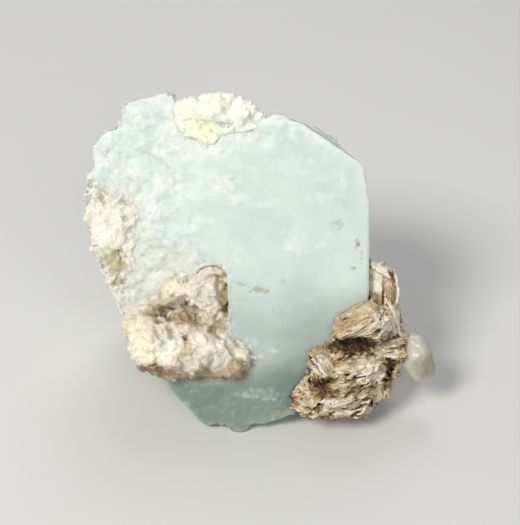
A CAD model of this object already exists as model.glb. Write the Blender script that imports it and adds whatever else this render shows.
"""Dresses an aquamarine specimen: fine crystal surfaces, crust grains, mica blades, light, camera.

Shapes are worked on in the crystal's own frame, in millimetres. Its origin is the middle of the
hexagonal front face, +X is right, +Y is up the face and +Z stands out of it.
"""

import math
import random
from typing import NamedTuple

import bmesh
import bpy
import numpy as np
from bpy.props import FloatProperty, FloatVectorProperty, IntProperty, PointerProperty
from mathutils import Euler, Matrix, Vector, noise
from mathutils.bvhtree import BVHTree
from mathutils.kdtree import KDTree


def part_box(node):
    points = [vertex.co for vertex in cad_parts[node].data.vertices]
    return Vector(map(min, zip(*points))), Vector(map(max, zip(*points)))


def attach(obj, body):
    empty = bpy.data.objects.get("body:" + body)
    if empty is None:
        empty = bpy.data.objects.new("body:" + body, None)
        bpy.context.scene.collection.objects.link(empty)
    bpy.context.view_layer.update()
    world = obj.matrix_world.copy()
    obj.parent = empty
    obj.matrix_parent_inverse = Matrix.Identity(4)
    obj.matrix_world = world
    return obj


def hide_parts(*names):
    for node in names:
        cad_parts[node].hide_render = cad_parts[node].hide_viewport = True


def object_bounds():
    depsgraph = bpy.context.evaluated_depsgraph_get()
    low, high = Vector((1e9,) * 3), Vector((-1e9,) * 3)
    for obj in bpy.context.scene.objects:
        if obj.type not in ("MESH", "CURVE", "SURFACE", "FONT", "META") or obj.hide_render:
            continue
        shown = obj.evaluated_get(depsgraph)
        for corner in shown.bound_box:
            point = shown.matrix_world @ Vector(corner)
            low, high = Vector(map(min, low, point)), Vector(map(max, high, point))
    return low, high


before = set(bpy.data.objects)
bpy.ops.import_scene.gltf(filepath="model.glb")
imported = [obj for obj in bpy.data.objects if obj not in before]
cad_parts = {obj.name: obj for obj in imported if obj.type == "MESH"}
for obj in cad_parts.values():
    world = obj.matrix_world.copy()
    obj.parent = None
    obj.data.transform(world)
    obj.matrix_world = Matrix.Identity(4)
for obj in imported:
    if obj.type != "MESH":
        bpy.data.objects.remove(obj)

bl_info = {
    "name": "Aquamarine specimen",
    "version": (1, 0, 0),
    "blender": (4, 5, 0),
    "location": "3D View > Sidebar > Specimen",
    "description": "Dresses a packed aquamarine specimen with crystal, crust and mica detail",
    "category": "Add Mesh",
}

MM = 0.001
LEAN = math.radians(30.0)  # the front face leans back this far from upright
QUARTZ_FROM_FACE = Vector((27.883, -4.549, -13.078))  # from the face's middle to the quartz's, mm
CAD_BOX = [list(corner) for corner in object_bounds()]
OVERHANG = np.array([0.4, 0.4, 0.0]) * MM  # how far fine detail may pass the solids' box
WELD = 0.002 * MM  # points of a CAD mesh that are nearer than this are one
SKY = 12.0  # above all of the specimen, in mm


def crystal_frame():
    """Takes the crystal's frame in millimetres to the row's frame in metres."""
    low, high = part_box("quartz_crystal")
    middle = (low + high) / 2 - QUARTZ_FROM_FACE * MM
    lean = Matrix.Rotation(math.pi / 2 - LEAN, 4, "X")
    return Matrix.Translation(middle) @ lean @ Matrix.Scale(MM, 4)


OUTWARD = crystal_frame()
INWARD = OUTWARD.inverted()
UP = Vector((0.0, math.cos(LEAN), math.sin(LEAN)))  # the world's +Z, in the crystal's frame


# Numbers and noise


def ramp(value, start, end):
    """0 at start, 1 at end, smooth between them."""
    share = min(1.0, max(0.0, (value - start) / (end - start)))
    return share * share * (3.0 - 2.0 * share)


def sway(place, size, seed=0.0):
    """Smooth noise from -1 to 1, with bumps of about that size."""
    return noise.noise(place / size + Vector((seed * 7.1, seed * 3.7, seed * 11.3)))


def facets(place, size, seed):
    """A patchwork of flat, tilted, stepped facets. Returns a height from about -1 to 1."""
    spot = place / size + Vector((seed * 5.3, seed * 9.1, seed * 2.7))
    _, middles = noise.voronoi(spot)
    middle = middles[0]
    tilt = noise.cell_vector(middle * 7.31) * 2.0 - Vector((1.0, 1.0, 1.0))
    return (spot - middle).dot(tilt) + 0.8 * (noise.cell(middle * 13.7) - 0.5)


def blot(place, middle, reach, ragged=0.5, size=0.9):
    """1 in the middle of an uneven blot on the front face, 0 outside it."""
    across = (place.x - middle[0]) / reach[0]
    along = (place.y - middle[1]) / reach[1]
    if abs(across) > 2.0 or abs(along) > 2.0:
        return 0.0
    return ramp(1.0 - math.hypot(across, along) - ragged * sway(place, size, 3.0), 0.0, 0.6)


# Meshes


def node_shape(name):
    """A merged copy of a CAD node, in the crystal's frame."""
    bm = bmesh.new()
    bm.from_mesh(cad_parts[name].data)
    bmesh.ops.remove_doubles(bm, verts=bm.verts, dist=WELD)
    bm.transform(INWARD)
    return bm


def piece_shape(name):
    """A copy of a finished piece, in the crystal's frame."""
    bm = bmesh.new()
    bm.from_mesh(bpy.data.objects[name].data)
    bm.transform(INWARD)
    return bm


def net_of(bm, voxel):
    """The outside of a shape as an even net of small faces, with all that overlaps joined."""
    mesh = bpy.data.meshes.new("draft")
    bm.to_mesh(mesh)
    draft = bpy.data.objects.new("draft", mesh)
    bpy.context.scene.collection.objects.link(draft)
    modifier = draft.modifiers.new("Remesh", "REMESH")
    modifier.mode = "VOXEL"
    modifier.voxel_size = voxel
    graph = bpy.context.evaluated_depsgraph_get()
    net = bpy.data.meshes.new_from_object(draft.evaluated_get(graph))
    bpy.data.objects.remove(draft)
    bpy.data.meshes.remove(mesh)
    return net


def points_of(mesh):
    """A mesh's points, one row each."""
    flat = np.empty(len(mesh.vertices) * 3, np.float32)
    mesh.vertices.foreach_get("co", flat)
    return flat.reshape(-1, 3).astype(float)


def normals_of(mesh):
    """The normals at a mesh's points, one row each."""
    flat = np.empty(len(mesh.vertices) * 3, np.float32)
    mesh.vertex_normals.foreach_get("vector", flat)
    return flat.reshape(-1, 3).astype(float)


def set_points(mesh, points):
    """Moves a mesh's points to new places."""
    mesh.vertices.foreach_set("co", np.asarray(points, np.float32).ravel())
    mesh.update()


def drawn_onto(mesh, tree):
    """Moves each point of a net back onto the shape it came from."""
    set_points(mesh, [tree.find_nearest(Vector(point))[0] for point in points_of(mesh)])


def evened(mesh, weight, rounds):
    """Averages each point with its neighbours, as far as its weight goes."""
    ends = np.empty(len(mesh.edges) * 2, np.int32)
    mesh.edges.foreach_get("vertices", ends)
    ends = ends.reshape(-1, 2)
    ends = np.concatenate([ends, ends[:, ::-1]])
    points = points_of(mesh)
    count = len(points)
    degree = np.maximum(np.bincount(ends[:, 0], minlength=count), 1)[:, None]
    share = np.broadcast_to(weight, count)[:, None]
    for _ in range(rounds):
        near = points[ends[:, 1]]
        total = [np.bincount(ends[:, 0], near[:, axis], count) for axis in range(3)]
        points = points + share * (np.stack(total, 1) / degree - points)
    set_points(mesh, points)


def softened_net(node, voxel, rounds):
    """A CAD node as an even net with softened edges, and the node's own surface as a tree."""
    rough = node_shape(node)
    tree = BVHTree.FromBMesh(rough)
    net = net_of(rough, voxel)
    rough.free()
    drawn_onto(net, tree)
    evened(net, 0.5, rounds)
    return net, tree


def raised(mesh, relief):
    """Moves each point out along its normal by relief(place)."""
    points = points_of(mesh)
    heights = np.array([relief(Vector(point)) for point in points])
    set_points(mesh, points + normals_of(mesh) * heights[:, None])


def store(mesh, **layers):
    """Stores numbers or colours at a mesh's points, as attributes for its material."""
    for label, values in layers.items():
        values = np.asarray(values, np.float32)
        kind, field = ("FLOAT_COLOR", "color") if values.ndim == 2 else ("FLOAT", "value")
        layer = mesh.attributes.new(label, kind, "POINT")
        layer.data.foreach_set(field, values.ravel())


def add_piece(name, mesh, material, node):
    """Adds a finished piece in place of a node, hardly wider than all the solids together."""
    mesh.transform(OUTWARD)
    low, high = np.array(CAD_BOX)
    set_points(mesh, np.clip(points_of(mesh), low - OVERHANG, high + OVERHANG))
    mesh.shade_smooth()
    mesh.materials.clear()
    mesh.materials.append(material)
    piece = bpy.data.objects.new(name, mesh)
    bpy.context.scene.collection.objects.link(piece)
    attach(piece, "root")
    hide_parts(node)


def sphere_directions(count):
    """Directions spread evenly over a sphere."""
    turn = math.pi * (3.0 - math.sqrt(5.0))
    spread = []
    for i in range(count):
        height = 1.0 - 2.0 * (i + 0.5) / count
        ring = math.sqrt(1.0 - height * height)
        spread.append(Vector((ring * math.cos(turn * i), ring * math.sin(turn * i), height)))
    return spread


RAYS = sphere_directions(22)
RAY_START = 0.04  # how far off the surface a ray starts, in mm
GRAZING = 0.12  # rays that leave the surface more flatly than this are left out


def openness(place, normal, trees, reach):
    """The share of the sky above a point that nothing near it hides."""
    start = place + normal * RAY_START
    free = total = 0.0
    for ray in RAYS:
        weight = ray.dot(normal)
        if weight < GRAZING:
            continue
        total += weight
        hits = (tree.ray_cast(start, ray, reach)[3] for tree in trees)
        nearest = min((hit for hit in hits if hit is not None), default=reach)
        free += weight * nearest / reach
    return free / total


def opennesses(mesh, neighbours, reach):
    """How open the sky is above each point of a mesh, with its neighbours beside it."""
    points, normals = points_of(mesh), normals_of(mesh)
    faces = [polygon.vertices[:] for polygon in mesh.polygons]
    trees = [BVHTree.FromPolygons(points.tolist(), faces), *neighbours]
    return [openness(Vector(p), Vector(n), trees, reach) for p, n in zip(points, normals)]


class Shape:
    """A small closed mesh to copy many times."""

    def __init__(self, bm):
        bmesh.ops.recalc_face_normals(bm, faces=bm.faces[:])
        bm.verts.index_update()
        self.points = np.array([vert.co for vert in bm.verts])
        self.faces = [[vert.index for vert in face.verts] for face in bm.faces]
        bm.free()


class Pile:
    """Copies of small shapes, gathered to become one net."""

    def __init__(self):
        self.points, self.faces, self.count = [], [], 0

    def _gather(self, points, faces):
        self.points.append(points)
        self.faces += [[index + self.count for index in face] for face in faces]
        self.count += len(points)

    def add(self, shape, matrix):
        """Adds a copy of a small shape, where the matrix takes it."""
        turn, place = np.array(matrix.to_3x3()), np.array(matrix.translation)
        self._gather(shape.points @ turn.T + place, shape.faces)

    def add_mesh(self, mesh):
        """Adds a whole mesh as it is."""
        self._gather(points_of(mesh), [polygon.vertices[:] for polygon in mesh.polygons])

    def net(self, voxel):
        """One closed skin round all that was gathered."""
        made = bpy.data.meshes.new("loose")
        made.from_pydata(np.concatenate(self.points).tolist(), [], self.faces)
        bm = bmesh.new()
        bm.from_mesh(made)
        bpy.data.meshes.remove(made)
        net = net_of(bm, voxel)
        bm.free()
        return net


def surface_points(bm, count, rng, wanted=None):
    """Random points on a mesh, evenly by area, each with its face's normal."""
    triangles = []
    for face in bm.faces:
        if wanted is not None and not wanted(face):
            continue
        corners = [vert.co.copy() for vert in face.verts]
        for i in range(1, len(corners) - 1):
            triangles.append((corners[0], corners[i], corners[i + 1], face.normal.copy()))
    areas = [((b - a).cross(c - a)).length for a, b, c, _ in triangles]
    found = []
    for a, b, c, normal in rng.choices(triangles, weights=areas, k=count):
        first, second = sorted((rng.random(), rng.random()))
        found.append((a * first + b * (second - first) + c * (1.0 - second), normal))
    return found


def blended(first, second, share):
    """A colour between two, as share goes from 0 to 1."""
    return [a + (b - a) * share for a, b in zip(first, second)]


# Materials

STONE_IOR = 1.5
QUARTZ_IOR = 1.54


class Recipe:
    """A Principled material with short ways to add nodes to it."""

    def __init__(self, name):
        self.material = bpy.data.materials.new(name)
        self.material.use_nodes = True
        self.tree = self.material.node_tree
        self.shader = self.tree.nodes["Principled BSDF"]

    def node(self, kind, inputs=None, **settings):
        """A new node, with its inputs fed and its settings set."""
        made = self.tree.nodes.new(kind)
        for label, value in settings.items():
            setattr(made, label, value)
        for label, value in (inputs or {}).items():
            self.feed(made.inputs[label], value)
        return made

    def feed(self, socket, value):
        """Feeds a socket from another one, or with a colour or a number."""
        if isinstance(value, bpy.types.NodeSocket):
            self.tree.links.new(value, socket)
        elif socket.type == "RGBA":
            socket.default_value = (*value, 1.0)
        else:
            socket.default_value = value

    def place(self):
        """Where a point is in the crystal's frame, in millimetres."""
        where = self.node("ShaderNodeTexCoord").outputs["Object"]
        location, turn, _ = OUTWARD.decompose()
        mapping = self.node("ShaderNodeMapping", {"Vector": where}, vector_type="TEXTURE")
        mapping.inputs["Location"].default_value = location
        mapping.inputs["Rotation"].default_value = turn.to_euler()
        mapping.inputs["Scale"].default_value = (MM, MM, MM)
        return mapping.outputs["Vector"]

    def stretched(self, place, scale):
        """Places scaled along each axis, for patterns that run one way."""
        inputs = {"Vector": place, "Scale": scale}
        return self.node("ShaderNodeMapping", inputs).outputs["Vector"]

    def grain(self, place, scale, detail=4.0, roughness=0.55, distortion=0.0):
        """Noise from 0 to 1, with scale bumps in a millimetre."""
        inputs = {"Vector": place, "Scale": scale, "Detail": detail, "Roughness": roughness}
        inputs["Distortion"] = distortion
        return self.node("ShaderNodeTexNoise", inputs).outputs["Fac"]

    def cells(self, place, scale, feature="F1"):
        """How far a place is from its cell's middle, or from its edge."""
        inputs = {"Vector": place, "Scale": scale}
        return self.node("ShaderNodeTexVoronoi", inputs, feature=feature).outputs["Distance"]

    def attribute(self, name):
        """A number stored at the mesh's points."""
        return self.node("ShaderNodeAttribute", attribute_name=name).outputs["Fac"]

    def band(self, value, start, end, low=0.0, high=1.0):
        """Takes start..end to low..high, and holds it there outside that."""
        inputs = {"Value": value, "From Min": start, "From Max": end}
        inputs |= {"To Min": low, "To Max": high}
        return self.node("ShaderNodeMapRange", inputs).outputs["Result"]

    def _math(self, operation, first, second):
        return self.node("ShaderNodeMath", {0: first, 1: second}, operation=operation).outputs[0]

    def sum(self, first, second):
        return self._math("ADD", first, second)

    def times(self, first, second):
        return self._math("MULTIPLY", first, second)

    def mix(self, share, first, second):
        """From first to second, as share goes from 0 to 1."""
        made = self.node("ShaderNodeMix", data_type="RGBA")
        self.feed(made.inputs[0], share)
        self.feed(made.inputs[6], first)
        self.feed(made.inputs[7], second)
        return made.outputs[2]

    def bump(self, height, distance, strength, under=None):
        """A normal for relief of this height, on top of an earlier one if given."""
        inputs = {"Height": height, "Distance": distance * MM, "Strength": strength}
        if under is not None:
            inputs["Normal"] = under
        return self.node("ShaderNodeBump", inputs).outputs["Normal"]

    def finish(self, colour, roughness, normal=None, ior=STONE_IOR):
        """The material, with its shader fed."""
        self.feed(self.shader.inputs["Base Color"], colour)
        self.feed(self.shader.inputs["Roughness"], roughness)
        self.feed(self.shader.inputs["IOR"], ior)
        if normal is not None:
            self.feed(self.shader.inputs["Normal"], normal)
        return self.material


def glow_through(recipe, weight, radius, scale):
    """Light that goes a short way in and comes out again, as in milky stone."""
    shader = recipe.shader
    shader.inputs["Subsurface Weight"].default_value = weight
    shader.inputs["Subsurface Radius"].default_value = radius
    shader.inputs["Subsurface Scale"].default_value = scale * MM


def aquamarine_material(looks):
    """Pale blue above and teal at the foot, with veils, flecks, rind and stains."""
    recipe = Recipe("aquamarine")
    place = recipe.place()
    worn, deep = recipe.attribute("worn"), recipe.attribute("deep")
    milk, grainy = recipe.attribute("milk"), recipe.attribute("grainy")
    clouds = recipe.grain(place, 0.14, 5.0, 0.62)
    mottle = recipe.grain(place, 0.85, 8.0, 0.72)
    flecks = recipe.grain(place, 2.8, 7.0, 0.75)
    colour = recipe.mix(recipe.band(clouds, 0.36, 0.64), looks.pale_blue, looks.grey_blue)
    dull = recipe.band(recipe.grain(place, 0.40, 6.0, 0.7), 0.50, 0.68, 0.0, 0.50)
    colour = recipe.mix(recipe.times(dull, worn), colour, looks.shadow_blue)
    colour = recipe.mix(deep, colour, looks.teal)
    streaky = recipe.stretched(place, (0.45, 1.0, 0.45))
    veils = recipe.band(recipe.grain(streaky, 0.8, 8.0, 0.68, 0.5), 0.48, 0.72)
    clear = recipe.band(deep, 0.2, 0.7, 0.65, 0.10)
    veiled = recipe.times(recipe.band(milk, 0.0, 0.6, 0.22, 1.0), clear)
    colour = recipe.mix(recipe.times(veils, veiled), colour, looks.milky_white)
    patchy = recipe.band(mottle, 0.35, 0.62, 0.30, 1.0)
    colour = recipe.mix(recipe.times(recipe.times(milk, patchy), 0.8), colour, looks.milky_white)
    fields = recipe.band(recipe.grain(place, 0.24, 4.0, 0.6), 0.42, 0.60, 0.25, 1.0)
    white = recipe.times(recipe.band(mottle, 0.40, 0.60, 0.0, 0.80), recipe.times(worn, fields))
    colour = recipe.mix(white, colour, looks.milky_white)
    clear = recipe.band(deep, 0.2, 0.7, 1.0, 0.25)
    shown = recipe.times(recipe.band(worn, 0.0, 1.0, 0.12, 1.0), clear)
    bright = recipe.times(recipe.band(flecks, 0.58, 0.72, 0.0, 0.9), shown)
    colour = recipe.mix(bright, colour, looks.sparkle)
    creamy = recipe.mix(recipe.band(mottle, 0.38, 0.60), looks.crust_grey, looks.grainy)
    creamy = recipe.mix(recipe.band(flecks, 0.50, 0.66), creamy, looks.sparkle)
    colour = recipe.mix(grainy, colour, creamy)
    specks = recipe.band(recipe.cells(place, 1.3), 0.11, 0.03)
    rare = recipe.band(recipe.grain(place, 0.5, 2.0), 0.5, 0.62)
    colour = recipe.mix(recipe.times(recipe.times(specks, rare), 0.8), colour, looks.sparkle)
    stain = recipe.attribute("stain")
    crumbs = recipe.sum(recipe.grain(place, 4.2, 6.0, 0.75), recipe.times(stain, 0.26))
    colour = recipe.mix(recipe.times(recipe.band(stain, 0.1, 0.8), 0.40), colour, looks.stain_grey)
    dark = recipe.times(recipe.band(crumbs, 0.60, 0.80), recipe.band(stain, 0.05, 0.35))
    colour = recipe.mix(recipe.times(dark, 0.75), colour, looks.brown)
    height = recipe.times(recipe.grain(place, 2.4, 8.0, 0.7), recipe.band(worn, 0.0, 1.0, 0.7, 1.5))
    normal = recipe.bump(height, 0.14, 0.7)
    ripple = recipe.grain(recipe.stretched(place, (0.5, 3.0, 0.5)), 1.2, 3.0)
    normal = recipe.bump(ripple, 0.08, 0.3, normal)
    roughness = recipe.band(recipe.grain(place, 0.8, 4.0), 0.3, 0.7, 0.26, 0.46)
    glow_through(recipe, 0.7, (1.2, 1.4, 1.35), 1.5)
    return recipe.finish(colour, roughness, normal)


def crust_material(name, looks, crevice, sparkle):
    """Stone painted point by point, with fine sugary grain and dirt in its hollows."""
    recipe = Recipe(name)
    place = recipe.place()
    colour = recipe.node("ShaderNodeAttribute", attribute_name="paint").outputs["Color"]
    fine = recipe.grain(place, 2.6, 8.0, 0.72)
    colour = recipe.mix(recipe.band(fine, 0.52, 0.72, 0.0, 0.55), colour, sparkle)
    colour = recipe.mix(recipe.band(fine, 0.46, 0.30, 0.0, 0.35), colour, crevice)
    closed = recipe.band(recipe.attribute("open"), 0.66, 0.20)
    dirty = recipe.band(recipe.grain(place, 1.1, 6.0, 0.7), 0.30, 0.60, 0.25, 1.0)
    colour = recipe.mix(recipe.times(closed, dirty), colour, crevice)
    deep = recipe.band(recipe.attribute("open"), 0.22, 0.04, 0.0, 0.9)
    colour = recipe.mix(deep, colour, looks.dark_brown)
    cracked = recipe.cells(place, 1.4, "DISTANCE_TO_EDGE")
    normal = recipe.bump(recipe.band(cracked, 0.0, 0.08), 0.05, 0.4)
    normal = recipe.bump(fine, 0.16, 0.7, normal)
    roughness = recipe.band(recipe.grain(place, 1.5, 3.0), 0.3, 0.7, 0.25, 0.5)
    glow_through(recipe, 0.35, (1.4, 1.2, 0.9), 0.7)
    return recipe.finish(colour, roughness, normal)


def mica_material(looks):
    """Layers of cream and tan, white on torn edges and dark between the plates."""
    recipe = Recipe("mica")
    place = recipe.place()
    fine = recipe.grain(place, 2.6, 8.0, 0.7)
    depth = recipe.sum(recipe.attribute("depth"), recipe.times(fine, 0.22))
    spot = recipe.node("ShaderNodeCombineXYZ", {"X": recipe.times(depth, 5.6)}).outputs[0]
    layers = recipe.grain(spot, 1.0, 5.0, 0.65)
    shade = recipe.sum(recipe.attribute("shade"), recipe.band(fine, 0.3, 0.7, -0.16, 0.16))
    shade = recipe.sum(shade, recipe.band(layers, 0.34, 0.66, -0.26, 0.32))
    colour = recipe.mix(recipe.band(shade, 0.0, 0.24), looks.mica_white, looks.mica_cream)
    colour = recipe.mix(recipe.band(shade, 0.24, 0.50), colour, looks.mica_tan)
    colour = recipe.mix(recipe.band(shade, 0.50, 0.76), colour, looks.rust)
    colour = recipe.mix(recipe.band(shade, 0.76, 1.0), colour, looks.dark_brown)
    normal = recipe.bump(layers, 0.10, 0.8)
    normal = recipe.bump(fine, 0.10, 0.6, normal)
    roughness = recipe.band(fine, 0.3, 0.7, 0.28, 0.5)
    glow_through(recipe, 0.12, (1.4, 1.1, 0.8), 0.4)
    return recipe.finish(colour, roughness, normal)


def quartz_material(looks):
    """Milky and glossy, with a clearer middle."""
    recipe = Recipe("milky_quartz")
    place = recipe.place()
    haze = recipe.grain(place, 0.5, 6.0, 0.65)
    colour = recipe.mix(recipe.band(haze, 0.35, 0.7), looks.quartz_white, looks.quartz_warm)
    heart = recipe.times(recipe.attribute("heart"), recipe.band(haze, 0.2, 0.6, 0.7, 1.0))
    colour = recipe.mix(heart, colour, looks.quartz_heart)
    normal = recipe.bump(recipe.grain(place, 2.0, 6.0, 0.6), 0.08, 0.5)
    roughness = recipe.band(recipe.grain(place, 1.0, 3.0), 0.3, 0.7, 0.18, 0.34)
    glow_through(recipe, 0.7, (1.3, 1.2, 1.1), 1.6)
    return recipe.finish(colour, roughness, normal, QUARTZ_IOR)


def floor_material(looks):
    """Dull and pale, with hardly any pattern."""
    recipe = Recipe("floor")
    place = recipe.place()
    soft = recipe.grain(place, 0.02, 2.0)
    colour = recipe.mix(recipe.band(soft, 0.3, 0.7, 0.0, 0.3), looks.floor, looks.floor_grey)
    return recipe.finish(colour, 0.6)


# The crystal

FRONT_FOLD = -0.8  # left of this the front face falls away
FRONT_FALL = math.tan(math.radians(10.0))
SHARP = math.radians(32.0)  # CAD edges that bend more than this are the crystal's sharp edges
EDGE_STEP = 0.3  # between the points along such an edge, in mm
FACE_DEPTH = 0.8  # a place is on the front face if it is no further behind it than this, in mm
FOOT_BAND = (-21.2, -20.6)  # the fine relief fades away between these heights, above the flat foot
FACE_ROUNDS = (30, 15)  # rounds of smoothing before the hollow's step is eased, and after
CAP_REACH, CRUST_REACH, MICA_REACH = 5.0, 4.2, 2.6  # how far each of them marks the crystal, in mm

VEILS = [  # white veils in the front face: middle, reach and strength
    ((-0.3, 12.4), (2.2, 1.3), 0.7), ((0.9, 10.2), (2.2, 1.2), 0.5),
    ((-1.8, 10.8), (2.2, 1.1), 0.5), ((0.8, 14.8), (1.2, 1.0), 0.6), ((3.6, 13.2), (0.8, 1.6), 0.3),
    ((8.6, 5.2), (1.6, 0.6), 0.4), ((9.0, 3.6), (1.0, 1.0), 1.0), ((9.6, 3.2), (3.0, 1.8), 0.45),
    ((1.0, 2.4), (0.9, 2.0), 0.6), ((13.2, 10.2), (2.8, 0.9), 0.5), ((16.0, 12.4), (1.0, 2.6), 0.5),
    ((9.0, 14.6), (5.0, 1.6), 0.35), ((13.0, 12.8), (1.6, 0.7), 0.4),
    ((-9.5, 16.5), (2.6, 1.0), 0.5), ((-10.5, 11.6), (1.2, 1.4), 0.8),
    ((-7.0, 5.5), (3.4, 0.9), 0.7), ((-4.5, 7.0), (2.6, 0.9), 0.5),
    ((4.6, -18.2), (3.4, 0.9), 0.35), ((6.4, -11.9), (1.2, 0.35), 0.7),
    ((4.2, -12.8), (1.4, 0.3), 0.6), ((-14.0, 14.0), (2.0, 1.6), 0.5),
    ((5.0, 9.2), (3.6, 0.3), 0.6), ((12.4, 3.2), (2.4, 0.3), 0.5), ((-6.0, 2.6), (2.6, 1.2), 0.4),
    ((-12.6, 8.6), (3.6, 2.6), 0.9), ((-17.0, 10.5), (2.4, 2.6), 0.6),
    ((-8.0, 19.0), (3.0, 2.0), 0.3), ((3.0, -11.0), (1.6, 1.0), 0.5),
    ((-2.4, 13.5), (2.6, 1.2), 0.5), ((3.0, 18.0), (4.0, 1.6), 0.5),
]  # fmt: skip
STAINS = [  # brown and yellow stains in the front face: middle, reach and strength
    ((1.6, -2.2), (1.4, 0.5), 0.7), ((3.9, -3.0), (1.6, 0.6), 0.8), ((5.4, -3.3), (0.6, 0.4), 0.9),
    ((7.6, -1.8), (1.0, 0.5), 0.6), ((18.3, 3.6), (0.3, 0.8), 1.0), ((17.8, 0.1), (0.5, 0.35), 0.9),
    ((18.9, 1.6), (0.2, 1.4), 0.7), ((15.4, 6.4), (1.2, 1.0), 0.5), ((5.4, -14.4), (1.6, 0.7), 0.8),
    ((6.3, -6.0), (0.3, 0.3), 0.9), ((-1.4, -0.2), (1.0, 1.4), 0.5), ((0.4, 12.9), (0.8, 0.5), 0.5),
    ((-19.2, 8.8), (1.0, 1.0), 0.5), ((-17.6, 1.2), (1.8, 2.6), 0.7),
    ((-15.4, 3.2), (1.6, 0.9), 0.5), ((-9.2, 7.4), (2.2, 1.0), 0.4),
    ((-17.5, 16.6), (0.8, 0.5), 0.5), ((12.6, -12.6), (1.6, 1.2), 0.6),
    ((-13.0, 3.6), (4.0, 2.6), 0.30), ((7.6, -21.2), (1.6, 0.6), 0.8),
    ((3.6, -19.6), (1.2, 0.6), 0.4),
]  # fmt: skip
STROKES = [  # thin lines on the front face: points, width in mm, strength and kind
    ([(1.6, 9.9), (3.2, 9.5), (5.2, 9.5), (8.3, 10.4)], 0.32, 0.7, "milk"),
    ([(3.0, 9.0), (5.0, 8.9), (7.8, 9.6)], 0.26, 0.45, "milk"),
    ([(-19.9, 10.9), (-19.3, 10.3), (-18.6, 9.6)], 0.3, 0.9, "stain"),
    ([(-2.2, 11.9), (-1.0, 11.0), (0.6, 10.2), (2.2, 9.6)], 0.30, 0.6, "milk"),
    ([(-0.6, 12.9), (0.4, 11.8), (1.0, 10.4)], 0.26, 0.6, "milk"),
    ([(-3.4, 9.9), (-1.6, 9.8), (0.8, 9.0)], 0.24, 0.5, "milk"),
    ([(0.8, -18.4), (2.6, -18.7), (4.2, -18.7)], 0.30, 0.35, "milk"),
    ([(4.8, -19.2), (6.6, -19.1)], 0.28, 0.40, "milk"),
    ([(0.1, -1.8), (0.3, -6.0), (0.2, -11.0)], 0.45, 0.55, "stain"),
    ([(2.8, -14.0), (1.6, -15.4), (0.4, -15.9)], 0.4, 0.7, "stain"),
    ([(9.0, -13.4), (9.9, -13.2), (10.3, -13.9), (9.6, -14.6)], 0.25, 0.6, "stain"),
    ([(17.8, 4.2), (18.2, 3.6), (18.1, 2.8)], 0.25, 0.9, "stain"),
    ([(-2.4, -1.0), (-1.2, -1.9), (-0.7, -4.0), (-0.6, -9.5)], 0.5, 0.8, "stain"),
    ([(-10.0, -16.0), (-5.0, -16.3), (2.4, -15.9)], 1.5, 1.0, "stain"),
]  # fmt: skip


def front_plane(across):
    """How far out the smooth front face lies, this far to the right."""
    return -FRONT_FALL * np.maximum(0.0, FRONT_FOLD - across)


# The shallow hollow's upper edge: across and up the face
LEDGE = [(-20.4, 9.9), (-17.8, 9.8), (-15.6, 6.8), (-10.5, 5.0), (-6.4, 2.6), (-3.4, 0.4)]
HOLLOW_FALL = 0.32  # how steeply the shallow hollow falls away from that edge
HOLLOW_FLOOR = -3.4  # how far behind the face's middle it ends, in mm
HOLLOW_SIDES = (-19.5, -3.2)
HOLLOW_TOP = 11.0


def line_distance(place, line):
    """How far a place is from a line of points, seen from the front."""
    spot = Vector((place.x, place.y))
    nearest = math.inf
    for start, end in zip(line, line[1:]):
        start, run = Vector(start), Vector(end) - Vector(start)
        share = min(1.0, max(0.0, (spot - start).dot(run) / run.length_squared))
        nearest = min(nearest, (spot - start - run * share).length)
    return nearest


def ledge_distance(place):
    """How far a place is from the hollow's upper edge, seen from the front."""
    return line_distance(place, LEDGE)


def ease_hollow(net):
    """Turns the shallow hollow's step into a gentle slope."""
    points = points_of(net)
    for index, (x, y, z) in enumerate(points):
        plane = front_plane(x)
        inside = HOLLOW_SIDES[0] < x < HOLLOW_SIDES[1] and y < HOLLOW_TOP
        if inside and HOLLOW_FLOOR < z < plane - 0.03:
            fall = HOLLOW_FALL * ledge_distance(Vector((x, y, z)))
            points[index, 2] = max(z, plane - fall)
    set_points(net, points)


def within_front(place, tree):
    """Whether the front face goes on all round a place on it."""
    for across, up in ((0.9, 0.0), (-0.9, 0.0), (0.0, 0.9), (0.0, -0.9)):
        above = Vector((place.x + across, place.y + up, SKY))
        hit = tree.ray_cast(above, Vector((0.0, 0.0, -1.0)))[0]
        if hit is None or hit.z < front_plane(hit.x) - FACE_DEPTH:
            return False
    return place.z > front_plane(place.x) - FACE_DEPTH


def sharp_edge_tree(bm, surface):
    """Points along the CAD crystal's sharp edges, to find how far from one a place is."""
    spots = []
    for edge in bm.edges:
        if len(edge.link_faces) != 2 or edge.calc_face_angle_signed() < SHARP:
            continue
        start, end = (vert.co for vert in edge.verts)
        on_ledge = ledge_distance(start.lerp(end, 0.5)) < 1.6 and start.z > -4.0
        if within_front(start.lerp(end, 0.5), surface) or (on_ledge and start.x > -19.0):
            continue
        steps = max(1, int((end - start).length / EDGE_STEP))
        spots += [start.lerp(end, i / steps) for i in range(steps + 1)]
    tree = KDTree(len(spots))
    for index, spot in enumerate(spots):
        tree.insert(spot, index)
    tree.balance()
    return tree


def milky_zone(place):
    """1 in the pitted, milky field above the crust, 0 away from it."""
    top = 9.4 - 0.48 * (place.x + 20.4)
    ragged = 1.2 * sway(place, 2.6, 21.0)
    field = ramp(top - place.y + ragged, -1.2, 1.2) * ramp(-0.4 - place.x, 0.0, 2.0)
    return field * ramp(place.y, -10.0, -7.0)


def etching(place):
    """How rough the front of the crystal is here: smooth at the right, terraced at the left."""
    upper = ramp(-place.x, 3.0, 9.0) * ramp(place.y, 2.0, 8.0)
    top = 0.6 * ramp(place.y, 15.5, 19.5)
    foot = 0.5 * ramp(-place.y, 15.0, 18.5)
    return max(upper, top, foot, 0.9 * milky_zone(place))


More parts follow.
